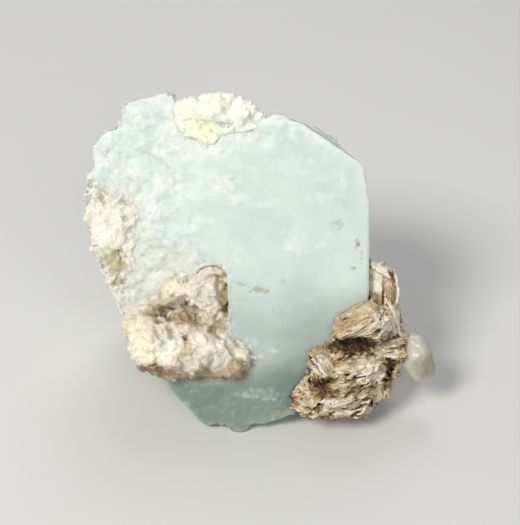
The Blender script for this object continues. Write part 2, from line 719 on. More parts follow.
def crystal_relief(place, facing, edge_distance, gap):
    """How far the fine surface stands out from the CAD face here, in mm."""
    on_plane = ramp(place.z - front_plane(place.x), -0.25, -0.05)
    front = max(on_plane, ramp(facing.z, 0.75, 0.9))
    back = (1.0 - front) * ramp(-facing.z, 0.1, 0.5)
    side = max(0.0, 1.0 - front - back)
    height = 0.0
    if front > 0.0:
        height += front * (0.05 * sway(place, 2.2, 1.0) + 0.02 * sway(place, 0.7, 2.0))
        etched = etching(place)
        if etched > 0.0:
            rise = 0.22 * facets(place, 2.6, 1.0) + 0.15 * facets(place, 1.1, 2.0)
            height += front * etched * (rise + 0.07 * facets(place, 0.6, 9.0))
        on_ledge = ramp(2.0 - ledge_distance(place), 0.0, 1.5)
        milky = max(milky_zone(place), ramp(2.4 - gap, 0.0, 1.6), on_ledge)
        if milky > 0.0:
            rise = 0.17 * facets(place, 1.9, 3.0) + 0.11 * facets(place, 0.8, 4.0)
            height += front * milky * (rise + 0.05 * facets(place, 0.5, 10.0))
    if side > 0.0:
        around = Vector((place.x * 1.6, place.y * 1.6, place.z * 0.06))
        height += side * (0.10 * noise.noise(around * 1.3) + 0.05 * noise.noise(around * 3.4))
        height += side * ramp(-place.z, 6.0, 14.0) * 0.25 * facets(place, 2.8, 4.0)
        height += side * 0.12 * facets(place, 1.6, 7.0) * ramp(-place.x, 4.0, 10.0)
    if back > 0.0:
        rough = 0.25 + 0.75 * ramp(sway(place, 7.0, 24.0), -0.15, 0.30)
        height += back * 0.75 * (facets(place, 7.5, 5.0) - 0.4)
        height += back * rough * 0.36 * facets(place, 2.7, 6.0)
        height += back * rough * (0.17 * facets(place, 1.1, 11.0) + 0.05 * sway(place, 0.7, 4.0))
    left, foot = ramp(-place.x, -2.0, 6.0), ramp(-place.y, 13.0, 17.0)
    rough_side = max(left, foot, ramp(-place.z, 4.0, 8.0))
    chip = ramp(0.8 - edge_distance, 0.0, 0.6) * ramp(sway(place, 0.8, 8.0), 0.0, 0.5)
    return height - chip * (0.08 + 0.26 * rough_side)


def teal_at(place, facing):
    """How deep and teal the crystal is: more so towards its foot."""
    down = 1.4 * sway(place, 4.0, 12.0) + 0.5 * sway(place, 1.2, 13.0) - place.y
    deep = 0.38 * ramp(down, 1.0, 11.0) + 0.55 * ramp(down, 12.0, 18.0)
    deep += 0.18 * ramp(place.x, 4.0, 12.0) * ramp(down, 0.0, 5.0)
    deep += 0.12 * ramp(FRONT_FOLD - place.x, -0.2, 0.5) * ramp(down, 13.0, 15.0)
    return deep * (0.75 + 0.25 * ramp(facing.z, -0.2, 0.6))


def front_marks(place):
    """How milky, stained and worn the front face is, but for its thin lines."""
    milk = 0.15 * milky_zone(place)
    for middle, reach, strength in VEILS:
        milk += strength * blot(place, middle, reach, 0.8, 0.7)
    stain = 0.0
    for middle, reach, strength in STAINS:
        stain = max(stain, strength * blot(place, middle, reach, 0.9, 0.45))
    worn = max(etching(place), 0.6 * ramp(-place.x, 0.0, 6.0) * ramp(place.y, -8.0, -2.0))
    return milk, stain, worn * (1.0 - 0.85 * ramp(-place.y, 13.0, 16.0))


def side_marks(place, facing):
    """How milky, stained and worn the crystal's sides and back are."""
    milk = 0.4 * ramp(sway(place, 3.0, 6.0), 0.0, 0.6)
    stain = 0.45 * ramp(sway(place, 4.0, 9.0), 0.25, 0.7)
    return milk, stain, 0.6 * ramp(-facing.z, 0.0, 0.4)


def edge_milk(place, edge_distance, cap_gap):
    """How milky the crystal is at its top, along its sharp edges and round the cap."""
    glowing = ramp(place.y - 0.6 * place.x, 2.0, 14.0)
    milk = 0.10 * ramp(place.y, 11.0, 20.0)
    milk += (0.2 + 0.5 * glowing) * ramp(1.1 - edge_distance, 0.0, 0.9)
    return milk + 0.9 * ramp(3.0 - cap_gap + 1.2 * sway(place, 1.6, 16.0), 0.0, 3.0)


def contact_stain(place, crust_gap, gap):
    """How stained the notch's wall, the hollow behind the crust and all contacts are."""
    wall = ramp(0.9 - abs(place.x + 0.6), 0.0, 0.5) * ramp(-place.y, 0.0, 1.5)
    wall *= ramp(12.6 + place.y, 0.0, 1.0) * ramp(-place.z, 0.1, 0.8) * ramp(place.z, -6.0, -5.0)
    hollow = ramp(-place.z, 2.9, 4.0) * ramp(place.z, -7.0, -5.8) * ramp(crust_gap, 2.6, 1.8)
    hollow *= ramp(place.y, -15.7, -15.2)
    beside = ramp(0.8 - gap + 0.7 * sway(place, 0.8, 5.0), 0.0, 1.4)
    return max(0.9 * wall, hollow, 0.35 * beside)


def rind_at(place, crust_gap):
    """How far a grainy rind covers the crystal: beside a crust, and low on the left."""
    reach = 3.0 - 2.0 * ramp(place.x, -1.2, -0.4)
    near = ramp(reach - crust_gap + 1.1 * sway(place, 1.1, 5.0), 0.0, 2.8)
    lower_left = 0.75 * milky_zone(place) * ramp(place.y, 8.0, -4.0)
    return max(near * ramp(place.y, -14.0, -9.0), lower_left * (0.7 + 0.5 * sway(place, 2.0, 15.0)))


def crystal_marks(place, facing, edge_distance, cap_gap, crust_gap, gap):
    """How teal, white, stained, worn and crusted the crystal is at a place."""
    behind = front_plane(place.x) - place.z
    in_front = facing.z > 0.3 or behind < 0.3
    milk, stain, worn = front_marks(place) if in_front else side_marks(place, facing)
    milk += edge_milk(place, edge_distance, cap_gap)
    strokes = STROKES if behind < 0.6 else ()
    for line, width, strength, kind in strokes:
        away = line_distance(place, line) + 0.12 * sway(place, 0.5, 14.0)
        drawn = strength * ramp(width - away, 0.0, width)
        milk, stain = (milk + drawn, stain) if kind == "milk" else (milk, max(stain, drawn))
    stain = max(stain, contact_stain(place, crust_gap, gap))
    grainy = rind_at(place, crust_gap)
    return teal_at(place, facing), min(1.0, milk), min(1.0, stain), worn, min(1.0, max(0.0, grainy))


def nearest_gap(place, trees, reach):
    """How far the nearest of some shapes is, or reach if none is nearer."""
    gaps = (tree.find_nearest(place, reach)[3] for tree in trees)
    return min((gap for gap in gaps if gap is not None), default=reach)


def face_softness(place, edge_distance):
    """How far a place is smoothed: on the front face, and most along the hollow's upper edge."""
    ledge = ramp(2.6 - ledge_distance(place), 0.0, 1.4) * ramp(place.x, -19.6, -17.6)
    flat = ramp(place.z - front_plane(place.x), -0.12, -0.04)
    share = max(0.8 * max(etching(place), flat) * ramp(edge_distance, 0.4, 1.6), ledge)
    return share * ramp(place.z, -7.0, -5.0)


def crystal_mesh(voxel, caps, crusts, micas):
    """The CAD crystal with its fine surface, and its marks stored at every point."""
    rough = node_shape("aquamarine_crystal")
    tree = BVHTree.FromBMesh(rough)
    edges = sharp_edge_tree(rough, tree)
    net = net_of(rough, voxel)
    rough.free()
    drawn_onto(net, tree)
    points = points_of(net)
    points[:, 2] = np.minimum(points[:, 2], front_plane(points[:, 0]))  # the thin growth layer goes
    set_points(net, points)
    soft = [face_softness(place, edges.find(place)[2]) for place in map(Vector, points)]
    evened(net, soft, FACE_ROUNDS[0])
    ease_hollow(net)
    evened(net, soft, FACE_ROUNDS[1])
    places = [Vector(point) for point in points_of(net)]
    facings = [Vector(normal) for normal in normals_of(net)]
    gaps = [edges.find(place)[2] for place in places]
    cap_gaps = [nearest_gap(place, caps, CAP_REACH) for place in places]
    crust_gaps = [nearest_gap(place, crusts, CRUST_REACH) for place in places]
    mica_gaps = [nearest_gap(place, micas, MICA_REACH) for place in places]
    near = [min(pair) for pair in zip(crust_gaps, mica_gaps)]
    rough_near = [min(pair) for pair in zip(crust_gaps, cap_gaps)]
    steady = np.array([ramp(place.dot(UP), *FOOT_BAND) for place in places])
    spots = zip(places, facings, gaps, rough_near)
    heights = np.array([crystal_relief(*values) for values in spots]) * steady
    set_points(net, points_of(net) + normals_of(net) * heights[:, None])
    evened(net, 0.2, 1)
    spots = zip(places, facings, gaps, cap_gaps, crust_gaps, near)
    marks = [crystal_marks(*values) for values in spots]
    store(net, **dict(zip(("deep", "milk", "stain", "worn", "grainy"), zip(*marks))))
    return net


# Crusts

BED_NET = 0.3  # spacing of the net that crusts and mica grow on, in mm
GRAIN_SHAPES = 12  # different grains in a crust
CRUST_SKY = 2.4  # how far away a crust's own grains can shade it, in mm


def grain_shape(rng):
    """A blocky grain: a cube with cut edges and three corners broken off."""
    bm = bmesh.new()
    bmesh.ops.create_cube(bm, size=1.0)
    bmesh.ops.bevel(
        bm, geom=bm.verts[:] + bm.edges[:], offset=rng.uniform(0.08, 0.24), segments=1,
        profile=0.5, affect="EDGES", material=-1,
    )  # fmt: skip
    for _ in range(3):
        normal = Vector([rng.uniform(-1.0, 1.0) for _ in range(3)]).normalized()
        everything = bm.verts[:] + bm.edges[:] + bm.faces[:]
        cut = bmesh.ops.bisect_plane(
            bm, geom=everything, dist=0.0001, plane_co=normal * rng.uniform(0.38, 0.5),
            plane_no=normal, clear_outer=True,
        )  # fmt: skip
        rim = [item for item in cut["geom_cut"] if isinstance(item, bmesh.types.BMEdge)]
        if rim:
            bmesh.ops.contextual_create(bm, geom=rim)
    stretch = Vector([rng.uniform(0.7, 1.15) for _ in range(3)])
    for vert in bm.verts:
        vert.co = Vector([a * b for a, b in zip(vert.co, stretch)])
    return Shape(bm)


def random_turn(rng):
    """A turn by chance, to any side."""
    return Euler([rng.uniform(0.0, 2.0 * math.pi) for _ in range(3)]).to_matrix().to_4x4()


class Growth(NamedTuple):
    """How a crust grows on its solid."""

    grains: int  # how many grow on the solid itself
    sizes: tuple  # the smallest and the largest, in mm
    sunk: tuple  # how deep they sit, as shares of their size
    spilled: int  # how many more lie on the crystal beside it
    strays: float  # how far away those lie, in mm
    standing: float  # how far its solid stands out of the crystal, as a share of the CAD's
    softened: int  # rounds of smoothing before the grains grow
    evened: int  # and after
    lightest: float  # how open its darkest hollow still is
    thickness: float = 0.0  # how thick it is at least, away from its rim, in mm
    skirt: float = 0.0  # how much thicker it is where it meets the crystal, in mm


SPILL_TRIES = 30000
SPILL_FLOOR = -8.0  # grains spill no lower than this, in mm
RIM = 1.6  # how wide a laid-down crust's rim thins out, in mm
LAID_ROUNDS = 4  # rounds of smoothing once it is laid down
SKIRT_REACH = 1.6  # how far from the crystal a crust's skirt starts, in mm
SEAM = 0.75  # how open a crust is at least where it meets the crystal


def spilled_places(crystal, tree, growth, rng):
    """Places on the crystal beside a crust, each with its normal and how near the crust it is."""
    found = []
    tries = surface_points(crystal, SPILL_TRIES, rng, lambda face: face.normal.z > -0.2)
    for place, normal in tries:
        gap = tree.find_nearest(place, growth.strays)[3]
        if gap is None or place.z < SPILL_FLOOR:
            continue
        closeness = 1.0 - gap / growth.strays
        if rng.random() < closeness * (0.9 + sway(place, 0.9, 22.0)):
            found.append((place, normal, closeness))
    rng.shuffle(found)
    return found[: growth.spilled]


def seat_under(place, carrier):
    """How high the crystal's front is under a place, and whether it is there at all.

    Past the crystal's outline, it is as high as the face would be.
    """
    plane = front_plane(place.x)
    hit = carrier.ray_cast(Vector((place.x, place.y, SKY)), Vector((0.0, 0.0, -1.0)))[0]
    past = hit is None or hit.z < plane - 1.2
    return (plane, False) if past else (hit.z, True)


def laid_down(mesh, carrier, standing, thickness):
    """Presses a crust down on the crystal, and to nothing at its rim."""
    places = [Vector(point) for point in points_of(mesh)]
    seats = [seat_under(place, carrier) for place in places]
    rim = KDTree(len(places))
    for index, (place, (seat, seated), normal) in enumerate(zip(places, seats, normals_of(mesh))):
        if seated and abs(place.z - seat) < 0.6 and abs(normal[2]) < 0.6:
            rim.insert((place.x, place.y, 0.0), index)
    rim.balance()
    for place, (seat, _) in zip(places, seats):
        if place.z > seat:
            thick = ramp(rim.find((place.x, place.y, 0.0))[2], 0.0, RIM)
            place.z = seat + thick * (thickness + standing * (place.z - seat)) - 0.1 * (1.0 - thick)
    set_points(mesh, places)


def crust_bed(node, growth, carrier):
    """The CAD crust as the bed its grains grow in, and the crust's own surface as a tree."""
    bed, tree = softened_net(node, BED_NET, growth.softened)
    if growth.standing < 1.0:
        laid_down(bed, carrier, growth.standing, growth.thickness)
        evened(bed, 0.5, LAID_ROUNDS)
    return bed, tree


def crust_grains(bed, tree, growth, crystal, rng):
    """The shapes of a crust's grains, and each grain's middle and size.

    They sit on its bed and lie spilled on the crystal beside it.
    """
    ground = bmesh.new()
    ground.from_mesh(bed)
    places = surface_points(ground, growth.grains, rng, lambda face: face.normal.z > -0.5)
    ground.free()
    shapes = [grain_shape(rng) for _ in range(GRAIN_SHAPES)]
    small, large = growth.sizes
    grains = []
    for place, normal in places:
        size = small + (large - small) * rng.random() ** 2.0
        grains.append((place - normal * size * rng.uniform(*growth.sunk), size))
    for place, normal, closeness in spilled_places(crystal, tree, growth, rng):
        size = 0.3 + 0.8 * closeness * rng.random()
        sunk = rng.uniform(max(0.25, growth.sunk[0]), growth.sunk[1])
        grains.append((place - normal * size * sunk, size))
    return shapes, grains


def crust_mesh(node, growth, voxel, seed, crystal, carrier, paint, fills):
    """The CAD crust with grains of every size grown into it, and a colour at every point."""
    rng = random.Random(seed)
    bed, tree = crust_bed(node, growth, carrier)
    shapes, grains = crust_grains(bed, tree, growth, crystal, rng)

    def swell(place):
        """Rough all over, and thicker where it meets the crystal, so that no gap shows."""
        gap = nearest_gap(place, [carrier], SKIRT_REACH)
        rough = 0.18 * growth.standing * facets(place, 1.7, seed)
        return rough + growth.skirt * ramp(SKIRT_REACH - gap, 0.0, 1.2)

    raised(bed, swell)
    pile = Pile()
    pile.add_mesh(bed)
    centres = KDTree(len(grains))
    for index, (middle, size) in enumerate([*grains, *fills]):
        matrix = Matrix.Translation(middle) @ random_turn(rng) @ Matrix.Scale(size, 4)
        pile.add(rng.choice(shapes), matrix)
        if index < len(grains):
            centres.insert(middle, index)
    centres.balance()
    tints = [rng.random() for _ in grains]
    net = pile.net(voxel)
    evened(net, 0.5, growth.evened)
    free = opennesses(net, [carrier], CRUST_SKY)
    raised(net, lambda at: 0.09 * facets(at, 0.8, seed + 1) + 0.05 * facets(at, 0.42, seed))
    colours, sky = [], []
    for place, seen in zip(map(Vector, points_of(net)), free):
        tint = tints[centres.find(place)[1]]
        thin = ramp(nearest_gap(place, [carrier], 1.0), 0.7, 0.1)
        colours.append((*paint(place, tint, thin), 1.0))
        sky.append(max(growth.lightest, seen, SEAM * thin))
    store(net, paint=colours, open=sky)
    return net


CRUST_FILLS = [  # lumps that fill the hollow behind the crust and its edge: middle and size
    ((-11.6, -6.6, -4.4), 3.4), ((-13.2, -7.4, -4.4), 3.0), ((-9.6, -5.6, -4.6), 3.2),
    ((-5.6, -6.8, -4.6), 3.4), ((-5.4, -2.4, -4.8), 3.0), ((-3.4, -1.4, -4.6), 2.6),
    ((-1.2, -1.0, -2.8), 2.6), ((-2.6, -0.6, -3.0), 2.6), ((-4.0, -1.4, -3.2), 2.4),
    ((-1.0, -2.6, -3.0), 2.2), ((-1.0, -4.2, -3.0), 2.2), ((-1.0, -5.8, -3.1), 2.2),
    ((-1.0, -7.4, -3.1), 2.2), ((-1.0, -9.0, -3.0), 2.2), ((-6.4, -2.8, -3.4), 2.2),
    ((-8.4, -4.4, -3.6), 2.2), ((-10.6, -5.2, -3.8), 2.2), ((-12.8, -6.2, -4.0), 2.2),
    ((-14.6, -8.0, -4.2), 2.4), ((2.0, -15.0, -1.6), 2.0), ((0.6, -15.2, -2.0), 2.2),
    ((-3.4, -2.0, -2.4), 2.4), ((-2.2, -1.4, -2.3), 2.2), ((-1.2, -2.2, -2.4), 2.2),
    ((-3.7, -4.2, -1.7), 3.4), ((0.0, -2.8, -2.1), 1.3), ((0.0, -4.4, -2.1), 1.3),
    ((0.0, -6.0, -2.1), 1.3), ((0.0, -7.6, -2.0), 1.3), ((0.0, -9.0, -1.8), 1.3),
    ((-5.6, -2.7, -0.8), 1.8), ((-5.0, -2.1, -0.7), 1.8), ((-4.5, -1.6, -0.6), 1.8),
    ((-3.9, -1.1, -0.5), 1.7), ((-3.3, -0.7, -0.4), 1.6), ((-2.6, -0.4, -0.35), 1.5),
    ((-1.9, -0.4, -0.4), 1.4), ((-1.2, -0.7, -0.6), 1.3), ((0.2, -2.2, -1.4), 1.1),
    ((-3.9, -2.6, -0.9), 2.3), ((-2.7, -1.8, -0.9), 2.2), ((-4.8, -3.4, -0.9), 2.2),
    ((0.2, -3.3, -1.3), 1.2), ((0.2, -4.6, -1.4), 1.1), ((0.2, -8.4, -1.3), 1.2),
    ((0.2, -9.8, -1.3), 1.2),
]  # fmt: skip
EDGE_FILLS = [((-17.3, 2.3, -3.1), 1.8), ((-17.2, 1.4, -3.2), 1.8)]  # and under the edge's crust
CAP_FILLS = [  # lumps between the cap and the crystal: middle and size
    ((-7.0, 23.0, -1.8), 1.9), ((-6.9, 22.1, -1.6), 1.9), ((-6.8, 21.2, -1.5), 1.9),
    ((-6.4, 20.3, -1.4), 1.8), ((-5.6, 19.5, -1.3), 1.8), ((-4.7, 18.9, -1.1), 1.7),
    ((-3.8, 18.4, -1.0), 1.7), ((-2.9, 18.2, -0.8), 1.6), ((-2.1, 18.6, -0.7), 1.6),
    ((-4.2, 19.8, -1.0), 1.8), ((-3.0, 19.4, -0.8), 1.8), ((-1.3, 19.3, -0.8), 1.8),
    ((-0.3, 19.6, -0.7), 1.7), ((0.8, 19.8, -0.7), 1.7), ((1.9, 19.9, -0.7), 1.7),
    ((2.9, 20.3, -0.7), 1.7), ((3.9, 20.3, -0.8), 1.6), ((1.2, 20.8, -0.8), 1.9),
    ((-3.4, 17.7, -1.0), 1.5), ((-5.2, 20.6, -1.2), 1.8), ((-6.0, 23.5, -1.6), 1.7),
    ((-4.9, 23.6, -1.7), 1.9), ((-3.6, 23.7, -1.6), 1.9), ((-2.4, 23.9, -1.6), 2.0),
    ((-1.2, 24.1, -1.6), 2.0), ((0.0, 24.0, -1.6), 2.0), ((1.2, 23.5, -1.6), 2.0),
    ((2.4, 22.9, -1.6), 2.0), ((3.5, 22.2, -1.5), 1.9), ((4.4, 21.3, -1.4), 1.7),
]  # fmt: skip

# Patches of colour in each crust: middle, reach, strength and which colour
CRUST_PATCHES = [
    ((-10.6, -14.8), (5.0, 2.5), 1.0, "crust_rust"), ((-3.6, -15.4), (9.6, 2.2), 1.0, "crust_tan"),
    ((0.6, -14.6), (3.6, 1.5), 0.7, "crust_brown"), ((-11.3, -5.2), (2.6, 1.6), 0.7, "grey_quartz"),
    ((-12.3, -10.9), (3.4, 3.4), 1.0, "crust_cream"),
    ((-9.3, -11.8), (1.9, 2.3), 0.9, "crust_white"),
    ((-6.4, -11.1), (1.4, 1.3), 0.6, "crust_orange"),
    ((-4.0, -10.4), (1.5, 1.4), 1.0, "crust_white"),
    ((-1.4, -12.6), (2.4, 1.4), 0.9, "grey_quartz"),
    ((-5.7, -13.6), (1.9, 1.4), 0.8, "grey_quartz"),
    ((-1.4, -10.3), (1.0, 0.9), 0.9, "crust_white"), ((1.6, -12.6), (1.4, 1.0), 0.9, "crust_cream"),
    ((2.2, -14.4), (2.0, 1.2), 0.8, "olive"), ((-5.6, -7.2), (4.6, 1.6), 0.9, "crust_brown"),
    ((-1.6, -8.2), (1.6, 1.6), 0.8, "crust_brown"), ((-11.0, -6.3), (2.0, 1.2), 0.8, "olive"),
    ((-8.3, -3.4), (1.8, 1.8), 0.7, "crust_cream"), ((-3.4, -3.2), (2.2, 2.4), 0.8, "grey_quartz"),
    ((-2.9, -2.2), (0.9, 0.9), 1.0, "crust_cream"), ((-1.2, -1.4), (1.3, 1.3), 0.9, "edge_olive"),
    ((-0.6, -4.6), (1.1, 4.4), 1.0, "olive"), ((-3.2, -6.6), (1.8, 1.2), 0.8, "crust_cream"),
    ((0.0, -9.6), (0.8, 0.8), 0.7, "crust_white"), ((-2.9, -12.4), (1.0, 0.8), 0.6, "crust_brown"),
    ((-9.4, -5.8), (2.8, 1.8), 0.7, "olive"), ((0.8, -14.0), (3.0, 1.3), 0.85, "crust_tan"),
    ((-7.6, -10.2), (1.8, 1.2), 0.8, "crust_white"), ((1.6, -13.2), (1.3, 0.8), 0.8, "olive"),
]  # fmt: skip
EDGE_PATCHES = [
    ((-17.4, 0.8), (2.5, 2.8), 1.0, "edge_olive"), ((-18.8, 9.8), (1.2, 1.2), 0.8, "edge_olive"),
    ((-16.2, -2.4), (1.4, 0.9), 0.7, "crust_brown"), ((-18.6, 4.4), (1.8, 2.0), 0.9, "crust_white"),
]  # fmt: skip
CAP_PATCHES = [
    ((-3.4, 19.4), (2.6, 2.6), 0.9, "cap_yellow"), ((1.6, 20.6), (2.2, 1.4), 0.3, "cap_grey"),
]  # fmt: skip


def painter(colours, base, second, rim, patches):
    """A function that gives a crust's colour at a place, for a grain of some tint.

    Where it thins out on the crystal, it takes on the colour rim.
    """

    def paint(place, tint, thin):
        share = 0.7 * tint + 0.5 * sway(place, 3.0, 31.0)
        share = min(1.0, max(0.0, share))
        colour = blended(getattr(colours, base), getattr(colours, second), share)
        colour = blended(colour, getattr(colours, rim), 0.7 * thin)
        for middle, reach, strength, name in patches:
            share = strength * blot(place, middle, reach, 0.7, 1.1)
            if share > 0.0:
                colour = blended(colour, getattr(colours, name), share)
        return colour

    return paint


# Mica

BLADE_SHAPES = 24  # different small plates in a mass
MICA_SKY = 1.6  # how far away other plates can shade a plate, in mm
RIDGES = (1.3, 3.0)  # how fine its coarse and its fine ridges are

# Each bundle: part of a node, the way its plates face, and how far they stray in degrees
FAN_FLOW = [
    ((17.6, -12.6), (-0.42, 0.90, 0.12), 10), ((20.5, -16.0), (-0.40, 0.90, 0.14), 9),
    ((16.4, -16.6), (-0.28, 0.94, 0.14), 12), ((15.0, -19.4), (-0.02, 0.95, 0.30), 24),
    ((11.0, -17.6), (0.30, 0.82, 0.48), 32), ((13.2, -13.4), (0.66, 0.66, 0.36), 12),
    ((24.0, -12.3), (-0.06, 0.96, 0.20), 7), ((23.6, -15.0), (0.52, 0.80, 0.20), 14),
    ((22.8, -18.0), (0.92, 0.26, 0.30), 14), ((18.8, -10.8), (0.5, 0.8, 0.2), 35),
]  # fmt: skip
UPPER_FLOW = [((17.6, -7.6), (-0.47, 0.80, 0.34), 4), ((21.6, -7.8), (-0.66, 0.56, 0.50), 30)]
SIDE_FLOW = [
    ((20.9, -3.0), (-0.42, 0.10, 0.90), 4), ((22.9, -3.4), (-0.96, 0.06, 0.25), 7),
    ((23.4, -9.0), (-0.86, -0.26, 0.42), 10),
]  # fmt: skip
MICA_PATCHES = [  # middle, reach and how much darker (or, below 0, whiter)
    ((13.0, -13.8), (1.6, 1.8), -0.3), ((15.6, -12.8), (1.4, 1.4), 0.25),
    ((18.2, -11.0), (3.8, 1.5), 0.7), ((13.4, -15.9), (2.4, 0.9), 0.45),
    ((23.1, -15.2), (0.7, 2.6), 0.45), ((23.6, -13.9), (2.0, 0.8), 0.3),
    ((23.3, -12.5), (2.2, 0.6), -0.5), ((22.0, -7.8), (1.8, 2.2), -0.45),
    ((21.0, -8.4), (0.6, 0.6), 0.6), ((21.4, -6.8), (0.4, 0.4), 0.6),
    ((22.7, -3.6), (0.9, 2.6), 0.15), ((24.2, -3.2), (0.5, 2.8), -0.5),
    ((21.6, -0.5), (1.8, 0.9), -0.4), ((23.6, -8.0), (1.4, 3.2), -0.45),
    ((11.0, -18.0), (2.6, 2.2), -0.15), ((20.9, -3.0), (1.4, 3.0), 0.0),
    ((20.4, -14.8), (2.8, 2.0), -0.4), ((15.8, -11.0), (2.0, 1.1), 0.5),
    ((13.5, -17.2), (2.8, 1.8), 0.45), ((16.5, -19.6), (4.8, 2.0), -0.30),
    ((21.6, -18.6), (1.2, 2.4), -0.25), ((9.2, -19.0), (1.2, 1.2), 0.4),
    ((16.0, -21.6), (3.0, 0.8), 0.2),
]  # fmt: skip


class Plate(NamedTuple):
    """One large plate, set by hand: middle, the way it faces, its long way, its size and curl."""

    middle: tuple
    facing: tuple
    along: tuple
    size: tuple  # length, width, thickness
    curl: float


FAN_PLATES = [
    Plate((23.3, -12.5, -0.5), (0.05, 0.96, 0.26), (1.0, -0.04, 0.1), (4.4, 1.3, 0.35), 0.1),
    Plate((13.0, -14.0, 1.6), (0.62, 0.62, 0.48), (0.70, -0.70, 0.1), (4.6, 2.0, 0.5), 0.3),
    Plate((24.6, -10.4, -3.0), (-0.85, -0.25, 0.45), (-0.32, 0.95, 0.0), (4.2, 3.2, 1.2), 0.2),
    Plate((25.4, -11.4, -3.4), (-0.75, -0.25, 0.60), (-0.32, 0.95, 0.0), (3.6, 3.0, 0.9), 0.3),
    Plate((22.4, -10.6, -2.6), (-0.10, 0.95, 0.25), (1.0, 0.0, 0.0), (4.4, 3.2, 1.4), 0.1),
    Plate((20.6, -10.9, -2.4), (0.20, 0.90, 0.35), (1.0, 0.0, 0.0), (3.6, 3.2, 1.2), 0.1),
    Plate((22.8, -9.6, -3.4), (-0.60, 0.50, 0.60), (0.5, 0.85, 0.0), (3.0, 3.4, 1.4), 0.1),
    Plate((23.8, -10.9, -0.9), (-0.20, 0.70, 0.68), (1.0, 0.25, 0.0), (3.2, 1.2, 0.4), -0.2),
    Plate((22.2, -11.6, -0.8), (0.25, 0.80, 0.55), (1.0, -0.2, 0.0), (2.6, 1.2, 0.3), 0.2),
    Plate((17.4, -11.0, 0.1), (0.05, 0.30, 0.95), (1.0, 0.12, 0.0), (5.2, 2.8, 1.1), 0.1),
    Plate((15.6, -11.6, 0.2), (-0.20, 0.30, 0.93), (1.0, 0.35, 0.1), (2.6, 2.2, 1.0), 0.1),
    Plate((18.8, -10.3, 0.3), (0.05, 0.15, 0.98), (1.0, 0.05, 0.0), (4.2, 2.4, 1.2), 0.0),
    Plate((16.4, -10.6, 0.3), (0.05, 0.15, 0.98), (1.0, 0.25, 0.0), (3.4, 2.2, 1.2), 0.0),
    Plate((14.4, -12.6, 0.0), (-0.30, 0.85, 0.42), (0.90, 0.50, 0.0), (3.4, 1.8, 0.8), 0.2),
    Plate((15.0, -11.3, 0.7), (0.55, 0.75, 0.35), (-0.70, 0.70, 0.2), (2.4, 1.2, 0.25), 0.2),
    Plate((16.0, -10.9, 0.6), (0.80, 0.50, 0.35), (-0.50, 0.85, 0.1), (2.2, 1.2, 0.25), -0.2),
    Plate((14.0, -12.0, 0.8), (0.35, 0.85, 0.35), (-0.85, 0.45, 0.2), (2.4, 1.2, 0.25), 0.2),
    Plate((17.0, -11.0, 0.9), (0.30, 0.85, 0.42), (0.90, -0.30, 0.2), (2.8, 1.2, 0.25), 0.1),
    Plate((18.6, -11.6, 1.2), (-0.20, 0.90, 0.40), (0.95, 0.20, 0.2), (3.0, 1.2, 0.25), 0.2),
    Plate((17.6, -12.2, 1.6), (0.40, 0.85, 0.30), (0.85, -0.40, 0.2), (2.8, 1.2, 0.25), -0.2),
    Plate((15.6, -12.8, 1.8), (-0.35, 0.88, 0.30), (0.90, 0.38, 0.1), (2.6, 1.2, 0.25), 0.2),
]
UPPER_PLATES = [
    Plate((21.4, -6.6, 1.3), (-0.30, 0.70, 0.65), (0.95, 0.30, 0.0), (2.4, 1.6, 0.5), 0.2),
    Plate((22.2, -7.6, 0.6), (0.30, 0.30, 0.90), (0.40, 0.90, 0.0), (2.6, 1.6, 0.5), -0.2),
    Plate((21.2, -8.4, 1.2), (0.35, -0.20, 0.90), (0.85, -0.50, 0.0), (2.2, 1.4, 0.6), 0.2),
    Plate((22.0, -9.2, 0.2), (-0.60, 0.20, 0.75), (0.30, 0.95, 0.0), (2.2, 1.4, 0.4), 0.2),
    Plate((20.4, -8.9, 0.8), (-0.20, -0.50, 0.80), (0.90, 0.30, 0.0), (2.4, 1.2, 0.4), -0.2),
]
SIDE_PLATES = [
    Plate((20.9, -2.4, -1.4), (-0.30, 0.05, 0.95), (0.03, 1.0, 0.0), (6.4, 2.4, 1.0), -0.08),
    Plate((21.4, 0.3, -1.1), (0.42, 0.82, 0.38), (0.84, -0.56, 0.0), (3.0, 1.5, 0.40), 0.1),
    Plate((22.2, -0.6, -1.2), (0.50, 0.78, 0.38), (0.88, -0.48, 0.0), (3.2, 1.4, 0.35), -0.2),
    Plate((24.2, -3.1, -1.5), (0.97, 0.06, 0.22), (-0.02, 1.0, 0.0), (5.6, 2.0, 0.42), -0.9),
    Plate((23.5, -3.3, -2.0), (0.90, 0.00, 0.45), (0.02, 1.0, 0.0), (4.8, 1.8, 0.30), -0.5),
    Plate((22.7, -3.3, -1.7), (0.20, 0.00, 0.98), (0.05, 1.0, 0.0), (5.2, 3.2, 0.9), 0.25),
    Plate((23.3, -7.6, -1.7), (-0.40, -0.22, 0.88), (-0.38, 0.92, 0.0), (5.4, 2.0, 0.9), -0.1),
    Plate((24.3, -7.8, -2.1), (0.88, 0.38, 0.30), (-0.38, 0.92, 0.0), (5.4, 1.6, 0.35), 0.10),
    Plate((22.7, -7.2, -1.3), (-0.75, -0.35, 0.55), (-0.36, 0.93, 0.0), (4.0, 1.4, 0.30), 0.15),
    Plate((22.8, -8.4, -3.4), (-0.30, 0.10, 0.95), (0.0, 1.0, 0.0), (4.6, 3.4, 1.6), 0.1),
]

# Hollows pushed into the front of each mass: middle, reach and depth
FAN_DENTS = [((18.4, -11.4), (3.4, 1.2), 0.6), ((23.0, -14.8), (1.2, 2.4), 0.6)]
UPPER_DENTS = [((18.6, -10.4), (3.6, 1.2), 1.2), ((22.8, -9.6), (1.4, 1.4), 0.8)]
SIDE_DENTS = [((22.7, -3.2), (1.5, 2.4), 0.8), ((23.2, -6.0), (1.6, 0.8), 0.6)]


